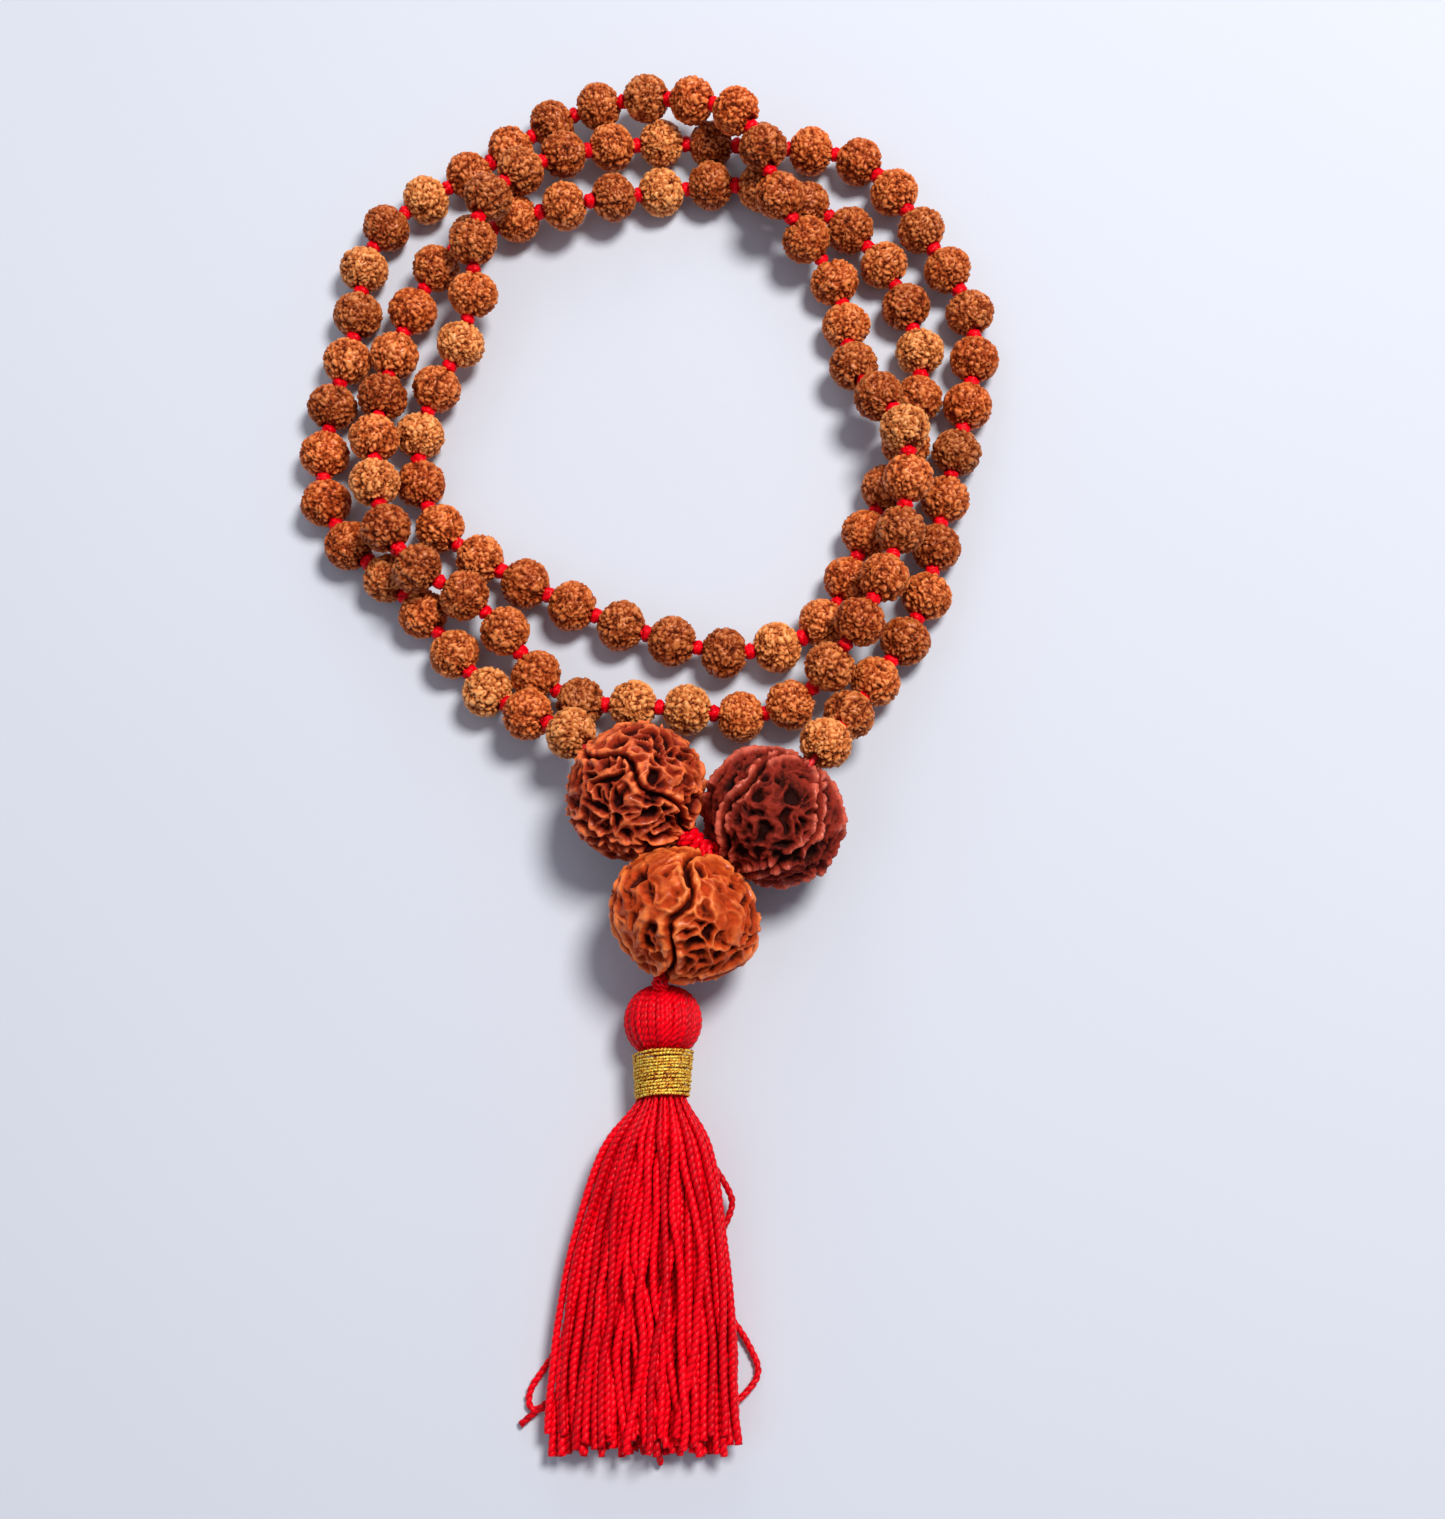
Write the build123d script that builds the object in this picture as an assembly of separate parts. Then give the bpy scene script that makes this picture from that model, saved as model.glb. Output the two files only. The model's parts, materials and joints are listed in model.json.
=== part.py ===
"""A mala: one hundred and eight seed beads on a knotted thread, a guru bead and a tassel.

The strand lies on a table in three loose turns. X is across the turns, Y runs from the
tassel (-Y) to the far side of the turns (+Y), and Z = 0 is the table. Millimetres.
"""
from build123d import *
from math import pi, radians, tan
import os

# ---------------------------------------------------------------- driving dimensions
CORD_DIAMETER = 1.0
BEAD_DIAMETER = 7.7          # small seed bead, across its five lobes
BEAD_LENGTH = 7.0            # small seed bead, along its bore
BORE_DIAMETER = 2.2
MOUTH_DIAMETER = 3.0         # where the bore opens in the small bead's end
MOUTH_DEPTH = 0.5
SMALL_BEADS = 106
SINGLE_BEADS = 20            # at each end of the strand, these are nodes of their own
RUNS = 7                     # the beads between them are this many runs
KNOT_DIAMETER = 2.3          # the knot tied after every bead
KNOT_LENGTH = 1.0

LARGE_BORE_DIAMETER = 2.4
LARGE_MOUTH_DIAMETER = 4.0
LARGE_MOUTH_DEPTH = 0.8
GROOVE_WIDTH = 0.7
GROOVE_DEPTH = 0.7
# centre, direction of the bore, diameter, length along the bore, number of faces
LEFT_BEAD = ((-2.1, -14.2, 10.8), (-0.72, 0.69, -0.05), 21.0, 19.0, 5)
RIGHT_BEAD = ((18.6, -18.0, 10.9), (0.58, 0.77, 0.26), 21.6, 19.0, 6)
GURU_BEAD = ((5.1, -33.9, 11.2), (0.36, 0.92, 0.10), 22.2, 18.4, 5)
GURU_CORD_INSET = 0.5        # the guru bead's cord ends this far inside its lower mouth
BEAD_REACH = 13.9            # from a large bead's centre to its small neighbour's

LEFT_KNOT = ((6.5, -22.2, 11.4), 3.8)       # centre and diameter of each lobe
GURU_KNOT = ((8.9, -23.8, 12.6), 2.0)

HEAD_CENTRE = (2.2, -48.0, 5.7)
HEAD_DIAMETER = 11.3
HEAD_WALL = 2.6
CORE_DIAMETER = 4.4          # the knot that the yarn is folded over, inside the head
NECK_DIAMETER = 1.6          # the small knot between guru bead and head
STEM_DIAMETER = 6.4          # the yarn bundle inside the binding
BINDING_TURNS = 13
BINDING_LENGTH = 6.8
BINDING_DIAMETERS = (8.6, 7.7)              # at the head and at the skirt
BINDING_OFFSET = 4.6         # from the head's centre to the binding's first turn
# skirt sections: distance from the head's centre, sideways shift, height of centre, width, thickness
SKIRT_SECTIONS = (
    (11.6, -0.2, 5.4, 7.4, 7.4),
    (17.0, -0.2, 5.0, 13.0, 8.6),
    (25.0, -0.8, 4.5, 19.0, 8.4),
    (36.0, -1.4, 4.0, 24.0, 7.6),
    (49.0, -1.9, 3.6, 27.6, 6.8),
    (61.5, -2.2, 3.4, 29.4, 6.4),
)

# Corners of the strand's route: from the knot beside the left bead, three times round,
# and through the right bead to the knot above the guru bead.
ROUTE = (
    (6.5, -22.2, 11.4), (-12, -4, 10.5), (-25, 2, 4), (-38, 19.5, 4), (-53, 32, 4),
    (-53, 50, 4), (-49, 64.5, 4), (-48, 84, 4), (-30.5, 95, 4), (-16, 106, 4),
    (-2.5, 108, 7), (16, 101.5, 13.5), (20, 85, 11), (31, 75, 2.5), (31.5, 57, 6),
    (41, 45.5, 13), (39, 26.5, 9.5), (31.5, 11, 11.5), (21, -1, 3), (0, 1, 6),
    (-15, 2, 3), (-25.5, 17, 7), (-40, 23, 11), (-45, 40, 9.5), (-43, 61.5, 4),
    (-36, 78, 5.5), (-27, 86, 3), (-12.5, 87.5, 8), (1, 92, 3), (16, 93, 5.5),
    (36, 83, 4), (44, 63, 4), (42, 48.5, 4), (34, 31, 4), (28, 14, 4),
    (13.5, 9, 4), (-6.5, 15, 4), (-21, 22, 4), (-36, 31, 4), (-39, 48, 4),
    (-29, 67, 6.5), (-30, 83, 13), (-20, 96, 7.5), (-0.5, 101, 4), (20.5, 100, 4),
    (35.5, 98, 4), (44.5, 83, 5), (53, 68, 4), (51, 52.5, 4), (46, 34.5, 4),
    (43, 16.5, 4), (32, 1.5, 5), (26, -8, 14.5), (16.8, -20.5, 10), (12.8, -25.5, 8.5),
    (11.6, -25.6, 9.5), (8.9, -23.8, 12.6),
)


# ---------------------------------------------------------------- shapes
def corner_radii(points):
    """The arc at each corner takes 0.45 of the shorter of its two runs."""
    radii = []
    for before, corner, after in zip(points, points[1:], points[2:]):
        run_in = Vector(corner) - Vector(before)
        run_out = Vector(after) - Vector(corner)
        half_turn = radians(run_in.get_angle(run_out)) / 2
        radii.append(0.45 * min(run_in.length, run_out.length) / tan(half_turn))
    return radii


def tube(path, diameter):
    """A round cord along a path."""
    section = Plane(origin=path @ 0, z_dir=path % 0) * Circle(diameter / 2)
    return sweep(section, path=path)


def bored_seed(diameter, length, bore, mouth, mouth_depth):
    """A round seed about Z: an arc outside, a straight bore, and a cone at each mouth."""
    end, inner = length / 2, length / 2 - mouth_depth
    outline = ThreePointArc((mouth / 2, -end), (diameter / 2, 0), (mouth / 2, end))
    inside = Polyline(
        (mouth / 2, end), (bore / 2, inner), (bore / 2, -inner), (mouth / 2, -end)
    )
    return revolve(Plane.XZ * make_face(outline + inside), Axis.Z)


def faced_seed(diameter, length, faces):
    """A large seed about Z, with a groove from mouth to mouth between each two faces."""
    seed = bored_seed(
        diameter, length, LARGE_BORE_DIAMETER, LARGE_MOUTH_DIAMETER, LARGE_MOUTH_DEPTH
    )
    rim = Circle(diameter) - Ellipse(diameter / 2 - GROOVE_DEPTH, length / 2 - GROOVE_DEPTH)
    half_rim = rim & Pos(diameter, 0) * Rectangle(2 * diameter, 2 * diameter)
    cutter = extrude(Plane.XZ * half_rim, amount=GROOVE_WIDTH / 2, both=True)
    for face in range(faces):
        seed -= Rot(Z=face * 360 / faces) * cutter
    return seed


def along(centre, direction):
    """A plane at a centre with its Z along a bore."""
    return Plane(origin=centre, z_dir=direction)


def place_large_bead(centre, direction, diameter, length, faces):
    return along(centre, direction) * faced_seed(diameter, length, faces)


def strand_places(path):
    """Where the small beads sit, evenly spaced along the strand, and the knots between them."""
    first = (Vector(LEFT_BEAD[0]) - Vector(ROUTE[0])).length + BEAD_REACH
    _, in_right_bead, _ = path.distance_to_with_closest_points(Vector(RIGHT_BEAD[0]))
    right_end = path.param_at_point(in_right_bead) * path.length
    pitch = (right_end - BEAD_REACH - first) / (SMALL_BEADS - 1)
    beads = [first + pitch * number for number in range(SMALL_BEADS)]
    knots = [first + pitch * (number + 0.5) for number in range(SMALL_BEADS - 1)]
    return pitch, beads, knots


def plane_on(path, distance):
    """The plane across the strand at a distance from its start."""
    return Plane(
        origin=path.position_at(distance, position_mode=PositionMode.LENGTH),
        z_dir=path.tangent_at(distance, position_mode=PositionMode.LENGTH),
    )


def knot():
    """A small barrel-shaped knot about Z that grips the thread."""
    half, waist = KNOT_LENGTH / 2, KNOT_DIAMETER / 2
    shoulder, grip = 0.75 * waist, CORD_DIAMETER / 2
    outline = ThreePointArc((shoulder, -half), (waist, 0), (shoulder, half))
    inside = Polyline((shoulder, half), (grip, half), (grip, -half), (shoulder, -half))
    return revolve(Plane.XZ * make_face(outline + inside), Axis.Z)


def gold_binding():
    """Turns of metallic thread side by side, on a sleeve about Z that narrows downwards."""
    pitch = BINDING_LENGTH / BINDING_TURNS
    start, end = (diameter / 2 for diameter in BINDING_DIAMETERS)
    radius = [start + (end - start) * turn / BINDING_TURNS for turn in range(BINDING_TURNS + 1)]
    edges = []
    for turn in range(BINDING_TURNS):
        top, bottom = -turn * pitch, -(turn + 1) * pitch
        crown = (radius[turn] + radius[turn + 1]) / 2 + pitch / 2
        edges.append(ThreePointArc(
            (radius[turn], top), (crown, (top + bottom) / 2), (radius[turn + 1], bottom)
        ))
    inner = STEM_DIAMETER / 2
    inside = Polyline(
        (radius[-1], -BINDING_LENGTH), (inner, -BINDING_LENGTH), (inner, 0), (radius[0], 0)
    )
    return revolve(Plane.XZ * make_face(edges + inside.edges()), Axis.Z)


def tassel_plane(distance):
    """The plane across the tassel, with its Z towards the head, at a distance below the head."""
    x, y, z = HEAD_CENTRE
    return Plane(origin=(x, y - distance, z), x_dir=(1, 0, 0), z_dir=(0, 1, 0))


def tassel_head():
    """A hollow ball of yarn, open where the neck goes in and where the stem comes out."""
    ball = Sphere(HEAD_DIAMETER / 2) - Sphere(HEAD_DIAMETER / 2 - HEAD_WALL)
    ball = Pos(*HEAD_CENTRE) * ball
    ball -= tassel_plane(BINDING_OFFSET) * Cylinder(HEAD_DIAMETER, 2 * HEAD_DIAMETER,
                                                    align=(Align.CENTER, Align.CENTER, Align.MAX))
    return ball


def skirt():
    """The yarn below the binding, spread flat on the table."""
    x, y, _ = HEAD_CENTRE
    sections = [
        Plane(origin=(x + shift, y - distance, height), x_dir=(1, 0, 0), z_dir=(0, -1, 0))
        * Ellipse(width / 2, thickness / 2)
        for distance, shift, height, width, thickness in SKIRT_SECTIONS
    ]
    return loft(sections)


# ---------------------------------------------------------------- strand
os.makedirs("parts", exist_ok=True)


def save(shape, node):
    export_step(shape, f"parts/{node}.step")


RADII = corner_radii(ROUTE)
STRAND = FilletPolyline(*ROUTE, radius=RADII)
PITCH, BEAD_AT, KNOT_AT = strand_places(STRAND)
print("corner radii:", [round(radius, 1) for radius in RADII])
cord = tube(STRAND, CORD_DIAMETER)
section_area = pi * CORD_DIAMETER**2 / 4
print(f"strand {STRAND.length:.1f} long, bead pitch {PITCH:.2f},",
      f"volume ratio {cord.volume / (section_area * STRAND.length):.4f}")
save(cord, "stringing_cord")

small_seed = bored_seed(BEAD_DIAMETER, BEAD_LENGTH, BORE_DIAMETER, MOUTH_DIAMETER, MOUTH_DEPTH)
BEADS = [plane_on(STRAND, distance) * small_seed for distance in BEAD_AT]
single = list(range(SINGLE_BEADS)) + list(range(SMALL_BEADS - SINGLE_BEADS, SMALL_BEADS))
for number in single:
    save(BEADS[number], f"small_bead_{number + 1:03d}")

between = SMALL_BEADS - 2 * SINGLE_BEADS
run_starts = [SINGLE_BEADS + between * run // RUNS for run in range(RUNS + 1)]
for first, last in zip(run_starts, run_starts[1:]):
    save(Compound(children=BEADS[first:last]), f"bead_run_{first + 1:03d}_to_{last:03d}")

knot_shape = knot()
knots = [plane_on(STRAND, distance) * knot_shape for distance in KNOT_AT]
save(Compound(children=knots), "strand_knots")

# ---------------------------------------------------------------- large beads and their knot
save(place_large_bead(*LEFT_BEAD), "left_large_bead")
save(place_large_bead(*RIGHT_BEAD), "right_large_bead")
save(place_large_bead(*GURU_BEAD), "guru_bead")

lobes = [Pos(*centre) * Sphere(diameter / 2) for centre, diameter in (LEFT_KNOT, GURU_KNOT)]
bridge = tube(Line(LEFT_KNOT[0], GURU_KNOT[0]), CORD_DIAMETER)
save(lobes[0] + bridge + lobes[1], "centre_knot")

guru_plane = along(*GURU_BEAD[:2])
guru_half = GURU_BEAD[3] / 2
guru_mouth = guru_plane.origin - guru_plane.z_dir * guru_half
cord_end = guru_mouth + guru_plane.z_dir * GURU_CORD_INSET
save(tube(Line(Vector(GURU_KNOT[0]), cord_end), CORD_DIAMETER), "guru_cord")

# ---------------------------------------------------------------- tassel
to_head = (Vector(HEAD_CENTRE) - guru_mouth).normalized()
gap = (Vector(HEAD_CENTRE) - guru_mouth).length - HEAD_DIAMETER / 2
NECK = guru_mouth + to_head * gap / 2
save(Pos(NECK) * Sphere(NECK_DIAMETER / 2), "tassel_neck_knot")
save(tassel_head(), "tassel_head")
save(Pos(*HEAD_CENTRE) * Sphere(CORE_DIAMETER / 2), "tassel_core_knot")

binding_plane = tassel_plane(BINDING_OFFSET)
save(binding_plane * gold_binding(), "gold_binding")
stem_length = SKIRT_SECTIONS[0][0] - BINDING_OFFSET
stem = Cylinder(STEM_DIAMETER / 2, stem_length, align=(Align.CENTER, Align.CENTER, Align.MAX))
save(binding_plane * stem, "tassel_stem")
save(skirt(), "tassel_skirt")
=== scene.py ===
"""The looks of a mala: wrinkled seeds on a knotted red thread, three large seeds and a yarn tassel."""
import json
import math
import random

import bpy
import numpy as np
from mathutils import Matrix, Vector, noise


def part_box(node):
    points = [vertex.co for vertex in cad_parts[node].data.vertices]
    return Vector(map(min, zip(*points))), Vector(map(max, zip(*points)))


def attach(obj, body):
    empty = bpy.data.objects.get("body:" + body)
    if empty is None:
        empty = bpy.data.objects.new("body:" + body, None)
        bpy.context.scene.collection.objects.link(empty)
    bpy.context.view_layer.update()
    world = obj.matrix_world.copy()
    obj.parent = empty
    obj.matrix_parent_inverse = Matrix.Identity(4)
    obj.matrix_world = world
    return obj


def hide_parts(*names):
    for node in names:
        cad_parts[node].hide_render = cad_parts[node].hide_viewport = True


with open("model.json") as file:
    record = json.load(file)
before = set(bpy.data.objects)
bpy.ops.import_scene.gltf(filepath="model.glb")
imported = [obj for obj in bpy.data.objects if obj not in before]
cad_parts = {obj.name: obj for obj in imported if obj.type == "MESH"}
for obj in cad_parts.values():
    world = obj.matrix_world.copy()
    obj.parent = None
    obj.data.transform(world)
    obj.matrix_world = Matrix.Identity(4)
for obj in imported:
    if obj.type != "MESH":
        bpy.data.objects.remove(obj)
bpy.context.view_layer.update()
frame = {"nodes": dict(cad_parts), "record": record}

bl_info = {
    "name": "Mala Prayer Beads",
    "version": (1, 0, 0),
    "blender": (4, 5, 0),
    "location": "View3D > Sidebar > Mala",
    "description": "Builds a seed bead mala with a yarn tassel round its packed frame",
    "category": "Object",
}

MM = 0.001
SMALL_SEEDS = 106
SEED_SHAPES = 12
WRINKLE_SEED = 108           # without it the wrinkles are drawn from the clock, new on every run
GOLDEN_SEEDS = {1, 3, 13, 15, 30, 38, 39, 46, 56, 63, 70, 79, 81, 88, 106}    # the palest small seeds

# The strand's route: from the knot beside the left seed, three times round, and through
# the right seed to the knot above the guru seed.
ROUTE_MM = (
    (6.5, -22.2, 11.4), (-12, -4, 10.5), (-25, 2, 4), (-38, 19.5, 4), (-53, 32, 4),
    (-53, 50, 4), (-49, 64.5, 4), (-48, 84, 4), (-30.5, 95, 4), (-16, 106, 4),
    (-2.5, 108, 7), (16, 101.5, 13.5), (20, 85, 11), (31, 75, 2.5), (31.5, 57, 6),
    (41, 45.5, 13), (39, 26.5, 9.5), (31.5, 11, 11.5), (21, -1, 3), (0, 1, 6),
    (-15, 2, 3), (-25.5, 17, 7), (-40, 23, 11), (-45, 40, 9.5), (-43, 61.5, 4),
    (-36, 78, 5.5), (-27, 86, 3), (-12.5, 87.5, 8), (1, 92, 3), (16, 93, 5.5),
    (36, 83, 4), (44, 63, 4), (42, 48.5, 4), (34, 31, 4), (28, 14, 4),
    (13.5, 9, 4), (-6.5, 15, 4), (-21, 22, 4), (-36, 31, 4), (-39, 48, 4),
    (-29, 67, 6.5), (-30, 83, 13), (-20, 96, 7.5), (-0.5, 101, 4), (20.5, 100, 4),
    (35.5, 98, 4), (44.5, 83, 5), (53, 68, 4), (51, 52.5, 4), (46, 34.5, 4),
    (43, 16.5, 4), (32, 1.5, 5), (26, -8, 14.5), (16.8, -20.5, 10), (12.8, -25.5, 8.5),
    (11.6, -25.6, 9.5), (8.9, -23.8, 12.6),
)
CORD_DIAMETER = 0.001
LINE_STEP = 0.0002           # between points on the strand's line
SEED_REACH = 0.0139          # along the strand, from a large seed's middle to its small neighbour's
SEED_WINDOW = 0.0042         # a small seed's points all lie this near its middle


# ---------------------------------------------------------------- settings
class MalaSeedSettings(bpy.types.PropertyGroup):
    """Small seeds."""
    columns: bpy.props.IntProperty(name="Columns", description="Faces round a small seed", default=96, min=24)
    rings: bpy.props.IntProperty(name="Rings", description="Faces from mouth to mouth", default=52, min=12)
    furrow_depth: bpy.props.FloatProperty(
        name="Furrow Depth", description="How deep the creases between the lumps go",
        default=0.00054, unit="LENGTH")
    lumps: bpy.props.FloatProperty(
        name="Lumps", description="Lumps across one radius of a small seed", default=3.7)
    # Painted shade: the colour at the bottom of the creases stands in for the shade that falls there.
    furrow_shade_colour: bpy.props.FloatVectorProperty(
        name="Furrow Shade Colour", description="Bottom of the creases", subtype="COLOR", size=3,
        default=(0.095, 0.011, 0.002))
    mid_colour: bpy.props.FloatVectorProperty(
        name="Flank Colour", description="Sides of the lumps", subtype="COLOR", size=3,
        default=(0.460, 0.062, 0.009))
    crest_colour: bpy.props.FloatVectorProperty(
        name="Crest Colour", description="Tops of the lumps", subtype="COLOR", size=3,
        default=(0.900, 0.225, 0.050))
    golden_colour: bpy.props.FloatVectorProperty(
        name="Golden Crest Colour", description="Tops of the lumps on the palest seeds",
        subtype="COLOR", size=3, default=(0.950, 0.400, 0.125))


class MalaLargeSeedSettings(bpy.types.PropertyGroup):
    """Large seeds."""
    columns: bpy.props.IntProperty(
        name="Columns", description="Faces round a large seed", default=300, min=60)
    rings: bpy.props.IntProperty(name="Rings", description="Faces from mouth to mouth", default=170, min=40)
    pit_depth: bpy.props.FloatProperty(
        name="Pit Depth", description="How deep the pits between the ridges go", default=0.0021,
        unit="LENGTH")


class MalaThreadSettings(bpy.types.PropertyGroup):
    """Stringing thread and its knots."""
    thread_colour: bpy.props.FloatVectorProperty(
        name="Thread Colour", description="Red of the thread and the yarn", subtype="COLOR", size=3,
        default=(1.000, 0.000, 0.009))
    knot_diameter: bpy.props.FloatProperty(
        name="Knot Diameter", description="Across a knot between two seeds", default=0.0023, unit="LENGTH")


class MalaTasselSettings(bpy.types.PropertyGroup):
    """Tassel."""
    yarns: bpy.props.IntProperty(name="Yarns", description="Yarns in the skirt", default=98, min=12)
    yarn_diameter: bpy.props.FloatProperty(
        name="Yarn Diameter", description="Across both plies of a yarn", default=0.00124, unit="LENGTH")
    ply_pitch: bpy.props.FloatProperty(
        name="Ply Pitch", description="Length in which the plies go once round", default=0.0022,
        unit="LENGTH")
    head_yarns: bpy.props.IntProperty(
        name="Head Yarns", description="Yarns laid over the head", default=52, min=12)
    gold_colour: bpy.props.FloatVectorProperty(
        name="Gold Colour", description="Metallic thread of the binding", subtype="COLOR", size=3,
        default=(1.000, 0.430, 0.022))
    gold_turns: bpy.props.IntProperty(
        name="Gold Turns", description="Turns of metallic thread", default=13, min=4)


class MalaStageSettings(bpy.types.PropertyGroup):
    """Table, lights and camera."""
    table_colour: bpy.props.FloatVectorProperty(
        name="Table Colour", description="Plain pale table top", subtype="COLOR", size=3,
        default=(0.605, 0.632, 0.705))
    camera_distance: bpy.props.FloatProperty(
        name="Camera Distance", description="From the camera to the table", default=0.330, unit="LENGTH")
    camera_tilt: bpy.props.FloatProperty(
        name="Camera Tilt", description="Away from looking straight down", default=math.radians(16),
        subtype="ANGLE")


# ---------------------------------------------------------------- mesh helpers
def clear_selection():
    """Leaves edit mode and deselects everything."""
    if bpy.context.object and bpy.context.object.mode != "OBJECT":
        bpy.ops.object.mode_set(mode="OBJECT")
    bpy.ops.object.select_all(action="DESELECT")


def points_of(mesh):
    """A mesh's points as rows of X, Y and Z."""
    flat = np.empty(len(mesh.vertices) * 3)
    mesh.vertices.foreach_get("co", flat)
    return flat.reshape(-1, 3)


def set_points(mesh, points):
    """Moves a mesh's points to the rows given."""
    mesh.vertices.foreach_set("co", np.asarray(points, float).ravel())
    mesh.update()


def set_attribute(mesh, name, values):
    """Stores one value, or one for each point, as a point attribute."""
    attribute = mesh.attributes.get(name) or mesh.attributes.new(name, "FLOAT", "POINT")
    attribute.data.foreach_set("value", np.broadcast_to(values, len(mesh.vertices)).astype(np.float32))


def finish_piece(obj, body, slot, material, *nodes):
    """Gives a piece its material, hangs it on the body it rides on, and hides the nodes it stands for."""
    obj.data.materials.clear()
    obj.data.materials.append(material)
    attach(obj, body)
    if nodes:
        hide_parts(*nodes)
    return obj


def smoothstep(low, high, value):
    """A soft step from 0 at low to 1 at high."""
    t = min(max((value - low) / (high - low), 0.0), 1.0)
    return t * t * (3 - 2 * t)


def to_axis(centre, axis, spin=0.0):
    """The matrix that stands a piece made about Z at a centre, along an axis."""
    turn = Vector(axis).to_track_quat("Z", "Y").to_matrix().to_4x4()
    return Matrix.Translation(Vector(centre)) @ turn @ Matrix.Rotation(spin, 4, "Z")


def curve_points(points, spacing):
    """Evenly spaced points along a smooth NURBS curve through a route."""
    data = bpy.data.curves.new("route", "CURVE")
    data.dimensions = "3D"
    spline = data.splines.new("NURBS")
    spline.points.add(len(points) - 1)
    for point, place in zip(spline.points, points):
        point.co = (*place, 1.0)
    spline.order_u = 3
    spline.use_endpoint_u = True
    spline.resolution_u = 24
    holder = bpy.data.objects.new("route", data)
    line = points_of(bpy.data.meshes.new_from_object(holder))
    bpy.data.objects.remove(holder)
    return resampled(line, spacing)


def resampled(line, spacing):
    """The same line with its points evenly spaced."""
    steps = np.linalg.norm(np.diff(line, axis=0), axis=1)
    run = np.concatenate([[0.0], np.cumsum(steps)])
    count = max(int(round(run[-1] / spacing)), 2)
    at = np.linspace(0, run[-1], count + 1)
    return np.stack([np.interp(at, run, line[:, k]) for k in range(3)], axis=1)


def frames_along(line):
    """Tangent, normal and binormal at each point, without a twist of their own."""
    tangent = np.gradient(line, axis=0)
    tangent /= np.linalg.norm(tangent, axis=1, keepdims=True)
    normal = np.zeros_like(line)
    start = np.cross(tangent[0], (0.0, 0.0, 1.0))
    if np.linalg.norm(start) < 1e-3:
        start = np.cross(tangent[0], (1.0, 0.0, 0.0))
    normal[0] = start / np.linalg.norm(start)
    for k in range(1, len(line)):
        carried = normal[k - 1] - tangent[k] * (normal[k - 1] @ tangent[k])
        normal[k] = carried / np.linalg.norm(carried)
    return tangent, normal, np.cross(tangent, normal)


def yarn_shell(line, radii, ply_pitch, sides=8, phase=0.0, waist=0.62):
    """A two-ply yarn along a line: its points, quads, UVs and how high each point stands on its ply."""
    _, normal, binormal = frames_along(line)
    steps = np.linalg.norm(np.diff(line, axis=0), axis=1)
    run = np.concatenate([[0.0], np.cumsum(steps)])
    angle = 2 * np.pi * np.arange(sides) / sides
    turn = 2 * np.pi * run / ply_pitch + phase
    crest = np.abs(np.cos(angle))[None, :] * np.ones((len(line), 1))
    reach = (waist + (1 - waist) * crest) * np.asarray(radii)[:, None]
    around = angle[None, :] + turn[:, None]
    ring = (np.cos(around) * reach)[..., None] * normal[:, None, :]
    ring = ring + (np.sin(around) * reach)[..., None] * binormal[:, None, :]
    points = (line[:, None, :] + ring).reshape(-1, 3)
    first = np.arange((len(line) - 1) * sides).reshape(-1, sides)
    following = np.roll(first, -1, axis=1)
    quads = np.stack([first, following, following + sides, first + sides], axis=-1).reshape(-1, 4)
    ends = (np.arange(sides)[::-1], np.arange(sides) + (len(line) - 1) * sides)
    across = np.broadcast_to(np.arange(sides) / sides, (len(line), sides)).ravel()
    along = np.repeat(run / MM, sides)
    return {"points": points, "quads": quads, "ends": ends, "uv": np.stack([across, along], 1),
            "relief": crest.ravel()}


def shells_to_object(name, shells, tones):
    """One mesh object from many yarn shells, with UVs, relief and one tone for each yarn."""
    points, faces, offset = [], [], 0
    for shell in shells:
        points.append(shell["points"])
        faces += (shell["quads"] + offset).tolist()
        faces += [(end + offset).tolist() for end in shell["ends"]]
        offset += len(shell["points"])
    mesh = bpy.data.meshes.new(name)
    mesh.from_pydata(np.concatenate(points).tolist(), [], faces)
    mesh.update()
    uv_of_point = np.concatenate([shell["uv"] for shell in shells])
    corners = np.empty(len(mesh.loops), int)
    mesh.loops.foreach_get("vertex_index", corners)
    mesh.uv_layers.new(name="yarn").data.foreach_set("uv", uv_of_point[corners].ravel())
    set_attribute(mesh, "relief", np.concatenate([shell["relief"] for shell in shells]))
    spread = [np.full(len(shell["points"]), tone) for shell, tone in zip(shells, tones)]
    set_attribute(mesh, "tone", np.concatenate(spread))
    mesh.polygons.foreach_set("use_smooth", [True] * len(mesh.polygons))
    obj = bpy.data.objects.new(name, mesh)
    bpy.context.collection.objects.link(obj)
    return obj


# ---------------------------------------------------------------- node helpers
def feed(tree, socket, value):
    """Links a socket's value to an input, or sets a plain value on it."""
    if isinstance(value, bpy.types.NodeSocket):
        tree.links.new(value, socket)
    else:
        socket.default_value = value


def add_node(tree, kind, inputs=None, **values):
    """A new node with its settings and its inputs."""
    node = tree.nodes.new(kind)
    for name, value in values.items():
        setattr(node, name, value)
    for socket, value in (inputs or {}).items():
        feed(tree, node.inputs[socket], value)
    return node


def maths(tree, operation, first, second):
    """One sum of two values."""
    return add_node(tree, "ShaderNodeMath", {0: first, 1: second}, operation=operation).outputs[0]


def colour_mix(tree, factor, first, second):
    """Two colours mixed by a factor."""
    return add_node(tree, "ShaderNodeMix", {0: factor, 6: first, 7: second}, data_type="RGBA").outputs[2]


def noise_field(tree, place, scale, detail, **more):
    """A noise texture's value at a place."""
    inputs = {"Vector": place, "Scale": scale, "Detail": detail, **more}
    return add_node(tree, "ShaderNodeTexNoise", inputs).outputs["Fac"]


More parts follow.
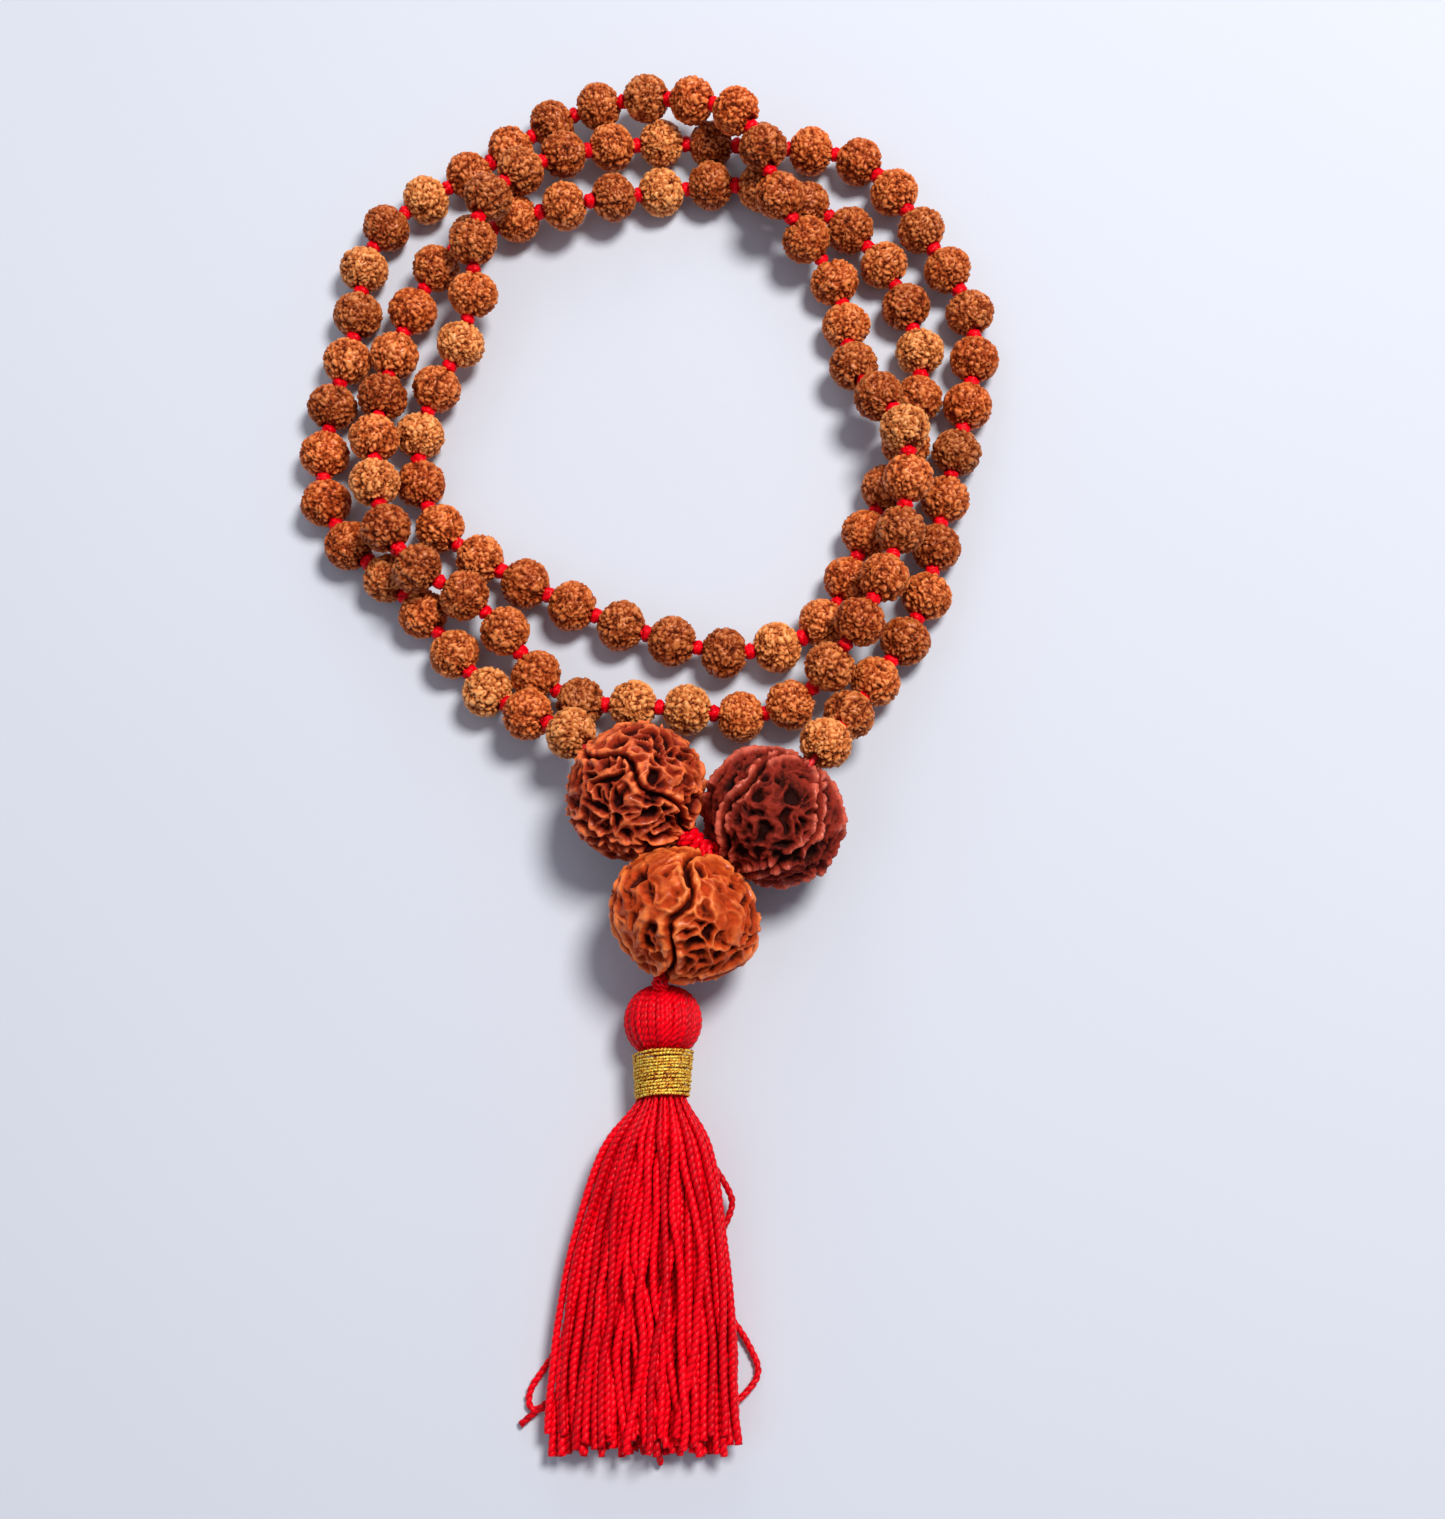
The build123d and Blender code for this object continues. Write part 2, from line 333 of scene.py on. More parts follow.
def remap(tree, value, low, high, to_low=0.0, to_high=1.0):
    """A value moved softly from one range to another."""
    return add_node(tree, "ShaderNodeMapRange", {0: value, 1: low, 2: high, 3: to_low, 4: to_high},
                    interpolation_type="SMOOTHSTEP").outputs[0]


def new_group(name, inputs, outputs):
    """An empty shader node group with named inputs and outputs."""
    tree = bpy.data.node_groups.new(name, "ShaderNodeTree")
    for socket, kind, default in inputs:
        made = tree.interface.new_socket(socket, in_out="INPUT", socket_type=kind)
        made.default_value = default
    for socket, kind in outputs:
        tree.interface.new_socket(socket, in_out="OUTPUT", socket_type=kind)
    return tree, tree.nodes.new("NodeGroupInput"), tree.nodes.new("NodeGroupOutput")


def wrinkle_group():
    """Seed skin: dark in the furrows as painted shade, pale and smooth on the crests, mottled all over."""
    if "wrinkled_skin" in bpy.data.node_groups:
        return bpy.data.node_groups["wrinkled_skin"]
    tree, given, result = new_group(
        "wrinkled_skin",
        (("Relief", "NodeSocketFloat", 0.5), ("Furrow Shade", "NodeSocketColor", (0, 0, 0, 1)),
         ("Mid", "NodeSocketColor", (0, 0, 0, 1)), ("Crest", "NodeSocketColor", (1, 1, 1, 1)),
         ("Mottle Size", "NodeSocketFloat", 900.0), ("Grain Size", "NodeSocketFloat", 4200.0)),
        (("Color", "NodeSocketColor"), ("Roughness", "NodeSocketFloat"), ("Height", "NodeSocketFloat")))
    place = add_node(tree, "ShaderNodeTexCoord").outputs["Object"]
    mottle = noise_field(tree, place, given.outputs["Mottle Size"], 3.0, Roughness=0.6)
    grain = noise_field(tree, place, given.outputs["Grain Size"], 4.0, Roughness=0.65)
    wander = maths(tree, "MULTIPLY", maths(tree, "SUBTRACT", mottle, 0.5), 0.55)
    level = maths(tree, "ADD", given.outputs["Relief"], wander)
    level = maths(tree, "ADD", level, maths(tree, "MULTIPLY", maths(tree, "SUBTRACT", grain, 0.5), 0.25))
    # Painted shade: where the relief is low, the colour runs towards the furrow shade colour.
    lower = remap(tree, level, 0.05, 0.42)
    upper = remap(tree, level, 0.42, 1.00)
    colour = colour_mix(tree, lower, given.outputs["Furrow Shade"], given.outputs["Mid"])
    colour = colour_mix(tree, upper, colour, given.outputs["Crest"])
    dark = remap(tree, mottle, 0.25, 0.75, 0.78, 1.12)
    tinted = add_node(tree, "ShaderNodeHueSaturation", {"Value": dark, "Color": colour}).outputs[0]
    tree.links.new(tinted, result.inputs["Color"])
    rough = remap(tree, level, 0.15, 0.85, 0.72, 0.30)
    rough = maths(tree, "ADD", rough, maths(tree, "MULTIPLY", grain, 0.10))
    tree.links.new(rough, result.inputs["Roughness"])
    height = maths(tree, "ADD", maths(tree, "MULTIPLY", grain, 0.4), maths(tree, "MULTIPLY", mottle, 0.6))
    tree.links.new(height, result.inputs["Height"])
    return tree


def principled(name):
    """A new material with its node tree and its shader."""
    material = bpy.data.materials.new(name)
    material.use_nodes = True
    tree = material.node_tree
    return material, tree, tree.nodes["Principled BSDF"]


def solid(colour):
    """A colour with full alpha."""
    return (*colour, 1.0)


def seed_material(name, deep, mid, crest, golden=None, mottle=900.0, grain=4200.0, bump=0.00010):
    """Oiled seed skin. With a golden colour, each seed's tone leads its crests towards it."""
    if name in bpy.data.materials:
        return bpy.data.materials[name]
    material, tree, shader = principled(name)
    relief = add_node(tree, "ShaderNodeAttribute", attribute_name="relief").outputs["Fac"]
    crest_colour, mid_colour = solid(crest), solid(mid)
    if golden is not None:
        tone = add_node(tree, "ShaderNodeAttribute", attribute_name="tone").outputs["Fac"]
        crest_colour = colour_mix(tree, tone, solid(crest), solid(golden))
        pale = tuple(channel * share for channel, share in zip(golden, (0.62, 0.40, 0.30)))
        mid_colour = colour_mix(tree, tone, solid(mid), solid(pale))
    # The deep colour is painted shade in the furrows and pits.
    skin = add_node(tree, "ShaderNodeGroup", node_tree=wrinkle_group())
    for socket, value in (("Relief", relief), ("Furrow Shade", solid(deep)), ("Mid", mid_colour),
                          ("Crest", crest_colour), ("Mottle Size", mottle), ("Grain Size", grain)):
        feed(tree, skin.inputs[socket], value)
    colour = skin.outputs["Color"]
    if golden is not None:
        shade = add_node(tree, "ShaderNodeAttribute", attribute_name="shade").outputs["Fac"]
        colour = add_node(tree, "ShaderNodeHueSaturation", {"Value": shade, "Color": colour}).outputs[0]
    tree.links.new(colour, shader.inputs["Base Color"])
    tree.links.new(skin.outputs["Roughness"], shader.inputs["Roughness"])
    lift = add_node(tree, "ShaderNodeBump", {"Height": skin.outputs["Height"], "Distance": bump,
                                             "Strength": 0.8})
    tree.links.new(lift.outputs[0], shader.inputs["Normal"])
    shader.inputs["Specular IOR Level"].default_value = 0.08
    tree.links.new(remap(tree, relief, 0.35, 1.0, 0.0, 0.42), shader.inputs["Coat Weight"])
    shader.inputs["Coat Roughness"].default_value = 0.24
    return material


def fibre_group():
    """Fine fibres that run along a yarn, on its own UV map."""
    if "spun_fibres" in bpy.data.node_groups:
        return bpy.data.node_groups["spun_fibres"]
    tree, given, result = new_group(
        "spun_fibres",
        (("Across", "NodeSocketFloat", 26.0), ("Along", "NodeSocketFloat", 0.9),
         ("Skew", "NodeSocketFloat", 0.35)),
        (("Fibre", "NodeSocketFloat"), ("Fluff", "NodeSocketFloat")))
    uv = add_node(tree, "ShaderNodeUVMap", uv_map="yarn").outputs[0]
    parts = add_node(tree, "ShaderNodeSeparateXYZ", {0: uv})
    slanted = maths(tree, "ADD", parts.outputs[0], maths(tree, "MULTIPLY", parts.outputs[1],
                                                         given.outputs["Skew"]))
    across = maths(tree, "MULTIPLY", slanted, given.outputs["Across"])
    along = maths(tree, "MULTIPLY", parts.outputs[1], given.outputs["Along"])
    place = add_node(tree, "ShaderNodeCombineXYZ", {0: across, 1: along}).outputs[0]
    fibre = noise_field(tree, place, 1.0, 3.0)
    solid_place = add_node(tree, "ShaderNodeTexCoord").outputs["Object"]
    fluff = noise_field(tree, solid_place, 700.0, 3.0)
    tree.links.new(fibre, result.inputs["Fibre"])
    tree.links.new(fluff, result.inputs["Fluff"])
    return tree


def yarn_material(name, colour, ply_valley_shade=0.58):
    """Silky twisted yarn: darker between its plies as painted shade and lighter on the ply crests as painted
    twist highlights, with fine fibres and a soft gloss.
    """
    if name in bpy.data.materials:
        return bpy.data.materials[name]
    material, tree, shader = principled(name)
    fibres = add_node(tree, "ShaderNodeGroup", node_tree=fibre_group())
    relief = add_node(tree, "ShaderNodeAttribute", attribute_name="relief").outputs["Fac"]
    tone = add_node(tree, "ShaderNodeAttribute", attribute_name="tone").outputs["Fac"]
    # Painted shade in the ply valleys; the ply crests keep the full colour as painted twist highlights.
    shade = remap(tree, relief, 0.0, 0.9, ply_valley_shade, 1.0)
    shade = maths(tree, "MULTIPLY", shade, remap(tree, fibres.outputs["Fibre"], 0.3, 0.7, 0.82, 1.12))
    shade = maths(tree, "MULTIPLY", shade, remap(tree, tone, 0.0, 1.0, 0.62, 1.10))
    shade = maths(tree, "MULTIPLY", shade, remap(tree, fibres.outputs["Fluff"], 0.3, 0.7, 0.90, 1.06))
    tint = add_node(tree, "ShaderNodeHueSaturation", {"Value": shade, "Color": solid(colour)})
    tree.links.new(tint.outputs[0], shader.inputs["Base Color"])
    rough = remap(tree, fibres.outputs["Fibre"], 0.3, 0.7, 0.42, 0.24)
    tree.links.new(rough, shader.inputs["Roughness"])
    lift = add_node(tree, "ShaderNodeBump", {"Height": fibres.outputs["Fibre"], "Distance": 0.00006,
                                             "Strength": 0.7})
    tree.links.new(lift.outputs[0], shader.inputs["Normal"])
    shader.inputs["Specular IOR Level"].default_value = 0.22
    shader.inputs["Specular Tint"].default_value = (1.0, 0.45, 0.50, 1.0)
    return material


# ---------------------------------------------------------------- strand
def strand_line():
    """The strand's smooth line, in metres, evenly stepped."""
    return curve_points([Vector(point) * MM for point in ROUTE_MM], LINE_STEP)


def nearest_on(line, place):
    """The number of the line's point that is nearest a place."""
    return int(np.argmin(((line - np.asarray(place)) ** 2).sum(axis=1)))


def direction_on(line, index):
    """Which way the line runs at one of its points."""
    reach = 8
    low, high = max(index - reach, 0), min(index + reach, len(line) - 1)
    return Vector(line[high] - line[low]).normalized()


def seed_nodes():
    """The node that holds each small seed, in order along the strand."""
    holder = {}
    for node in frame["nodes"]:
        if node.startswith("small_bead_"):
            holder[int(node[-3:])] = node
        if node.startswith("bead_run_"):
            first, last = int(node[9:12]), int(node[-3:])
            holder.update({number: node for number in range(first, last + 1)})
    return [holder[number] for number in range(1, SMALL_SEEDS + 1)]


def seed_places(line):
    """Centre and bore direction of each small seed, read from its node."""
    left, right = middle("left_large_bead"), middle("right_large_bead")
    start, stop = nearest_on(line, left), nearest_on(line, right)
    reach = SEED_REACH / LINE_STEP
    guesses = np.linspace(start + reach, stop - reach, SMALL_SEEDS)
    places = []
    for guess, node in zip(guesses, seed_nodes()):
        points = points_of(frame["nodes"][node].data)
        centre = line[int(round(guess))]
        for _ in range(4):
            close = points[((points - centre) ** 2).sum(axis=1) < SEED_WINDOW**2]
            centre = (close.min(axis=0) + close.max(axis=0)) / 2
        places.append((node, centre, direction_on(line, nearest_on(line, centre))))
    return places


def middle(node):
    """The middle of a node's box."""
    low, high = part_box(node)
    return (np.asarray(low) + np.asarray(high)) / 2


def body_of_node(node):
    """The body that holds a node."""
    for name, nodes in frame["record"]["behaviour"]["bodies"].items():
        if node in nodes:
            return name
    raise ValueError(f"no body holds {node}")


def joint_of(body):
    """The joint that moves a body."""
    for joint in frame["record"]["behaviour"]["joints"]:
        if joint["child"] == body:
            return joint
    raise ValueError(f"no joint moves {body}")


# ---------------------------------------------------------------- seeds
def seed_blank(name, columns, rings, bore_share):
    """A round of radius 1 about Z with an open bore, from a sphere whose poles are opened and turned in."""
    clear_selection()
    bpy.ops.mesh.primitive_uv_sphere_add(segments=columns, ring_count=rings, radius=1.0)
    obj = bpy.context.object
    obj.name = obj.data.name = name
    mesh = obj.data
    bpy.ops.object.mode_set(mode="EDIT")
    bpy.ops.mesh.select_mode(type="VERT")
    bpy.ops.mesh.select_all(action="DESELECT")
    bpy.ops.object.mode_set(mode="OBJECT")
    for vertex in mesh.vertices:
        vertex.select = math.hypot(vertex.co.x, vertex.co.y) < bore_share
    bpy.ops.object.mode_set(mode="EDIT")
    bpy.ops.mesh.delete(type="VERT")
    bpy.ops.mesh.select_all(action="DESELECT")
    bpy.ops.mesh.select_non_manifold()
    for share in (0.93, 0.80, 0.60):
        bpy.ops.mesh.extrude_region_move()
        bpy.ops.transform.resize(value=(0.97, 0.97, share), center_override=(0, 0, 0))
    bpy.ops.object.mode_set(mode="OBJECT")
    bpy.ops.object.shade_smooth()
    return obj


def small_relief(place, lumps, seed_shift):
    """How high a small seed's skin stands at a unit direction, from 0 in a furrow to 1 on a lump."""
    at = place * lumps + seed_shift
    at += noise.noise_vector(at * 0.55) * 0.95 + noise.noise_vector(at * 1.5) * 0.45
    distances, _ = noise.voronoi(at)
    gap = distances[1] - distances[0]
    lump = smoothstep(0.0, 0.34, gap) ** 0.8
    dome = 1 - 0.45 * min(distances[0], 1.0) ** 2
    swell = 0.5 + 0.5 * noise.noise(at * 0.45)
    return lump * dome * (0.78 + 0.22 * swell)


def face_offset(place, faces, wobble):
    """How far a unit direction lies from the nearest line between a seed's faces, in radii."""
    turn = math.atan2(place.y, place.x) / (2 * math.pi) * faces
    index = round(turn)
    bend = wobble * noise.noise(Vector((place.z * 1.6, (index % faces) * 7.3, 0.4)))
    return abs(turn - index - bend) / faces * 2 * math.pi * math.hypot(place.x, place.y)


def bell(value, centre, width):
    """A rounded bump of height 1 about a centre."""
    return math.exp(-(((value - centre) / width) ** 2))


def facing_spin(axis):
    """The spin about an axis that turns a seed's first face line upwards."""
    turn = Vector(axis).to_track_quat("Z", "Y").to_matrix()
    return math.atan2(turn[2][1], turn[2][0])


def shaped_seed(blank, radius, half_length, relief_at, depth, shade_power=1.0):
    """Copies a blank, scales it to a seed and carves its skin inwards by the relief."""
    mesh = blank.data.copy()
    points = points_of(mesh)
    levels = np.array([relief_at(Vector(point).normalized()) for point in points])
    low, high = np.percentile(levels, (4, 97))
    levels = np.clip((levels - low) / (high - low), 0, 1.15)
    carved = points * np.array([radius, radius, half_length])
    normals = points / np.array([radius, radius, half_length])
    normals /= np.linalg.norm(normals, axis=1, keepdims=True)
    carved -= normals * (depth * (1 - levels))[:, None]
    set_points(mesh, carved)
    # This relief leads the colour from the painted furrow shade to the crest colour; a higher shade_power
    # spreads the painted shade further up the flanks.
    set_attribute(mesh, "relief", np.clip(levels, 0, 1) ** shade_power)
    return mesh


def seed_shapes(settings):
    """A dozen different small seeds about Z, to be copied along the strand."""
    blank = seed_blank("seed_blank", settings.columns, settings.rings, 0.26)
    rng = random.Random(108)
    shapes = []
    for _ in range(SEED_SHAPES):
        shift = Vector([rng.uniform(-40, 40) for _ in range(3)])
        radius = rng.uniform(4.06, 4.18) * MM
        half = rng.uniform(3.74, 3.92) * MM

        def relief_at(place, shift=shift):
            level = small_relief(place, settings.lumps, shift)
            line = bell(face_offset(place, 5, 0.3), 0, 0.05)
            return level * (1 - 0.75 * line)

        shapes.append(shaped_seed(blank, radius, half, relief_at, settings.furrow_depth, shade_power=0.75))
    bpy.data.objects.remove(blank)
    return shapes


class MALA_OT_small_seeds(bpy.types.Operator):
    """Carve the small seeds and string them along the strand"""
    bl_idname = "mala.small_seeds"
    bl_label = "Small Seeds"

    def execute(self, context):
        settings = context.scene.mala_seeds
        noise.seed_set(WRINKLE_SEED)
        material = seed_material("small_seed_skin", settings.furrow_shade_colour, settings.mid_colour,
                                 settings.crest_colour, settings.golden_colour)
        shapes = seed_shapes(settings)
        rng = random.Random(27)
        for number, (node, centre, axis) in enumerate(seed_places(strand_line()), start=1):
            mesh = shapes[rng.randrange(SEED_SHAPES)].copy()
            flip = axis if rng.random() < 0.5 else -axis
            mesh.transform(to_axis(centre, flip, rng.uniform(0, 2 * math.pi)))
            golden = number in GOLDEN_SEEDS
            set_attribute(mesh, "tone", rng.uniform(0.72, 1.0) if golden else rng.uniform(0.0, 0.38))
            set_attribute(mesh, "shade", rng.uniform(0.92, 1.10) if golden else rng.uniform(0.62, 1.02))
            seed = bpy.data.objects.new(f"seed_{number:03d}", mesh)
            context.collection.objects.link(seed)
            finish_piece(seed, body_of_node(node), "small_seed", material, node)
        return {"FINISHED"}


# ---------------------------------------------------------------- large seeds
def net_of_ridges(at, width):
    """Rounded ridges along the walls of a cell pattern: 1 on a wall and 0 inside a cell."""
    distances, _ = noise.voronoi(at)
    gap = distances[1] - distances[0]
    return 1 - smoothstep(0.0, width, gap)


def left_relief(place):
    """Thick rounded ridges in a net, with deep crinkled pits between them."""
    at = place * 3.5 + Vector((11.3, 4.1, 7.7))
    at += noise.noise_vector(at * 0.6) * 1.0 + noise.noise_vector(at * 2.1) * 0.30
    ridge = net_of_ridges(at, 0.50) ** 1.2
    crinkle = net_of_ridges(at * 2.7, 0.40)
    depth = 0.55 + 0.45 * smoothstep(-0.3, 0.4, noise.noise(at * 0.6 + Vector((3, 9, 1))))
    knobs = noise.noise(at * 1.4)
    level = 1 - depth * (1 - ridge) + 0.20 * crinkle * (1 - ridge) + 0.22 * knobs
    off = face_offset(place, 5, 0.5)
    return level + 0.22 * bell(off, 0.09, 0.045) - 0.65 * bell(off, 0, 0.030)


def right_relief(place):
    """Flat plates with small pits, between raised double lines from mouth to mouth."""
    at = Vector((place.x * 4.0, place.y * 4.0, place.z * 3.0)) + Vector((2.9, 14.2, 5.5))
    at += noise.noise_vector(at * 0.7) * 0.7 + noise.noise_vector(at * 2.3) * 0.18
    ridge = net_of_ridges(at, 0.70)
    crinkle = net_of_ridges(at * 2.5, 0.35)
    swell = noise.noise(at * 0.8)
    level = 0.30 + 0.62 * ridge + 0.14 * crinkle + 0.24 * swell
    off = face_offset(place, 6, 0.35)
    return level + 0.42 * bell(off, 0.085, 0.05) - 0.50 * bell(off, 0, 0.026)


def guru_relief(place):
    """Broad plates and winding ridges, long pits, and a deep groove with raised lips on each face line."""
    at = Vector((place.x * 4.2, place.y * 4.2, place.z * 2.9)) + Vector((8.8, 1.7, 19.4))
    at += noise.noise_vector(at * 0.6) * 0.9 + noise.noise_vector(at * 2.0) * 0.30
    ridge = net_of_ridges(at, 0.55) ** 1.1
    crinkle = net_of_ridges(at * 2.4, 0.40)
    depth = 0.50 + 0.50 * smoothstep(-0.3, 0.4, noise.noise(at * 0.6 + Vector((5, 2, 8))))
    knobs = noise.noise(at * 1.2)
    level = 1 - depth * (1 - ridge) + 0.15 * crinkle * (1 - ridge) + 0.20 * knobs
    off = face_offset(place, 5, 0.45)
    return level + 0.25 * bell(off, 0.11, 0.055) - 0.85 * bell(off, 0, 0.030)


# For each large seed: its slot, its relief, its colours from furrow to crest (the furrow colour is painted
# shade), how many degrees its first face line leans from straight up, and how far it is shifted along its
# bore.
LARGE_LOOKS = {
    "left_large_bead": ("left_seed", left_relief, (0.022, 0.001, 0.001), (0.310, 0.025, 0.007),
                        (0.960, 0.200, 0.055), 5, 0.0),
    "right_large_bead": ("right_seed", right_relief, (0.018, 0.002, 0.001), (0.250, 0.020, 0.010),
                         (0.640, 0.110, 0.060), -25, 0.0),
    "guru_bead": ("guru_seed", guru_relief, (0.045, 0.003, 0.001), (0.470, 0.045, 0.006),
                  (0.930, 0.215, 0.048), 4, 0.0008),
}


class MALA_OT_large_seeds(bpy.types.Operator):
    """Carve the two large seeds and the guru seed"""
    bl_idname = "mala.large_seeds"
    bl_label = "Large Seeds"

    def execute(self, context):
        settings = context.scene.mala_large_seeds
        noise.seed_set(WRINKLE_SEED)
        blank = seed_blank("large_blank", settings.columns, settings.rings, 0.11)
        for node, (slot, relief_at, deep, mid, crest, lean, shift) in LARGE_LOOKS.items():
            body = body_of_node(node)
            joint = joint_of(body)
            points = points_of(frame["nodes"][node].data) - middle(node)
            axis = Vector(joint["axis"])
            along = np.abs(points @ np.array(axis))
            half = float(along.max()) + 0.0008
            radius = float(np.sqrt(((points**2).sum(axis=1) - along**2).max())) + 0.0006
            mesh = shaped_seed(blank, radius, half, relief_at, settings.pit_depth, shade_power=2.0)
            away = axis * math.copysign(shift, axis.y)
            spin = facing_spin(axis) + math.radians(lean)
            mesh.transform(to_axis(Vector(middle(node)) + away, axis, spin))
            material = seed_material(f"{slot}_skin", deep, mid, crest, mottle=420.0, grain=2600.0,
                                     bump=0.00016)
            seed = bpy.data.objects.new(f"{node}_carved", mesh)
            context.collection.objects.link(seed)
            finish_piece(seed, body, slot, material, node)
        bpy.data.objects.remove(blank)
        return {"FINISHED"}


# ---------------------------------------------------------------- thread and knots
def knot_line(turns, radius, length, points):
    """The line of a small wrapped knot about Z: turns that bulge in the middle."""
    share = np.linspace(0, 1, points)
    bulge = np.sin(np.pi * np.clip(share, 0.04, 0.96)) ** 0.5
    angle = 2 * np.pi * turns * share
    height = (share - 0.5) * length + 0.12 * length * np.sin(2 * angle)
    return np.stack([radius * bulge * np.cos(angle), radius * bulge * np.sin(angle), height], axis=1)


class MALA_OT_strand(bpy.types.Operator):
    """Lay the stringing thread along its route and tie a knot after every seed"""
    bl_idname = "mala.strand"
    bl_label = "Thread and Knots"

    def execute(self, context):
        settings = context.scene.mala_thread
        material = yarn_material("red_thread_skin", settings.thread_colour, ply_valley_shade=0.60)
        data = bpy.data.curves.new("stringing_thread", "CURVE")
        data.dimensions = "3D"
        spline = data.splines.new("NURBS")
        spline.points.add(len(ROUTE_MM) - 1)
        for point, place in zip(spline.points, ROUTE_MM):
            point.co = (*(Vector(place) * MM), 1.0)
        spline.order_u = 3
        spline.use_endpoint_u = True
        data.bevel_depth = CORD_DIAMETER / 2
        data.bevel_resolution = 3
        data.resolution_u = spline.resolution_u = 12
        data.use_fill_caps = True
        thread = bpy.data.objects.new("stringing_thread", data)
        context.collection.objects.link(thread)
        plain_red = thread_material(settings.thread_colour)
        finish_piece(thread, "strand", "red_thread", plain_red, "stringing_cord")

        rng = random.Random(5)
        line = strand_line()
        places = seed_places(line)
        shells = []
        for (_, before, _), (_, after, _) in zip(places, places[1:]):
            index = nearest_on(line, (before + after) / 2)
            diameter = settings.knot_diameter * rng.uniform(1.0, 1.16)
            thick = diameter * 0.30
            base = knot_line(2.3, diameter / 2 - thick * 0.75, 1.9 * MM - thick, 26)
            turn = to_axis(line[index], direction_on(line, index), rng.uniform(0, 6.28))
            placed = np.array([turn @ Vector(point) for point in base])
            shells.append(yarn_shell(placed, np.full(26, thick), 1.6 * MM, sides=7, waist=0.82))
        knots = shells_to_object("strand_knots_tied", shells, [rng.uniform(0.4, 1.0) for _ in shells])
        finish_piece(knots, "strand", "red_thread", material, "strand_knots")
        return {"FINISHED"}


def thread_material(colour):
    """The stringing thread has no UV map, so its fibres follow the strand as a whole."""
    name = "stringing_thread_skin"
    if name in bpy.data.materials:
        return bpy.data.materials[name]
    material, tree, shader = principled(name)
    place = add_node(tree, "ShaderNodeTexCoord").outputs["Object"]
    fluff = noise_field(tree, place, 2600.0, 3.0)
    shade = remap(tree, fluff, 0.3, 0.7, 0.55, 1.05)
    tint = add_node(tree, "ShaderNodeHueSaturation", {"Value": shade, "Color": solid(colour)})
    tree.links.new(tint.outputs[0], shader.inputs["Base Color"])
    tree.links.new(remap(tree, fluff, 0.3, 0.7, 0.55, 0.38), shader.inputs["Roughness"])
    lift = add_node(tree, "ShaderNodeBump", {"Height": fluff, "Distance": 0.00012, "Strength": 0.8})
    tree.links.new(lift.outputs[0], shader.inputs["Normal"])
    return material


class MALA_OT_centre_knot(bpy.types.Operator):
    """Tie the knot where the three large seeds meet, and the thread through the guru seed"""
    bl_idname = "mala.centre_knot"
    bl_label = "Centre Knot"

    def execute(self, context):
        settings = context.scene.mala_thread
        material = yarn_material("red_thread_skin", settings.thread_colour, ply_valley_shade=0.60)
        left, right = Vector(ROUTE_MM[0]) * MM, Vector(ROUTE_MM[-1]) * MM
        shells = []
        lobes = ((left, 4.4 * MM, 3.8 * MM, 0.70, 0.4), (right, 3.4 * MM, 3.3 * MM, 0.60, 1.9),
                 (left.lerp(right, 0.5), 1.9 * MM, 2.6 * MM, 0.42, 3.0))
        for centre, diameter, length, thick, phase in lobes:
            thick = thick * MM
            base = knot_line(2.6, diameter / 2 - thick * 0.7, length - thick, 60)
            turn = to_axis(centre, right - left, phase)
            placed = np.array([turn @ Vector(point) for point in base])
            shells.append(yarn_shell(placed, np.full(60, thick), 2.2 * MM, sides=8, waist=0.8))
        knot = shells_to_object("centre_knot_tied", shells, [0.9, 0.8, 0.6])
        finish_piece(knot, "strand", "red_thread", material, "centre_knot")

        low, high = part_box("guru_cord")
        guru_axis = Vector(joint_of(body_of_node("guru_bead"))["axis"])
        centre = Vector(middle("guru_cord"))
        half = (Vector(high) - Vector(low)).length / 2 * 0.93
        ends = [centre - guru_axis * half, centre + guru_axis * half]
        line = resampled(np.array([ends[0], ends[1]]), 0.00025)
        shell = yarn_shell(line, np.full(len(line), 0.5 * MM), 2.0 * MM, sides=8, waist=0.75)
        cord = shells_to_object("guru_thread", [shell], [0.8])
        finish_piece(cord, "strand", "red_thread", material, "guru_cord")
        return {"FINISHED"}


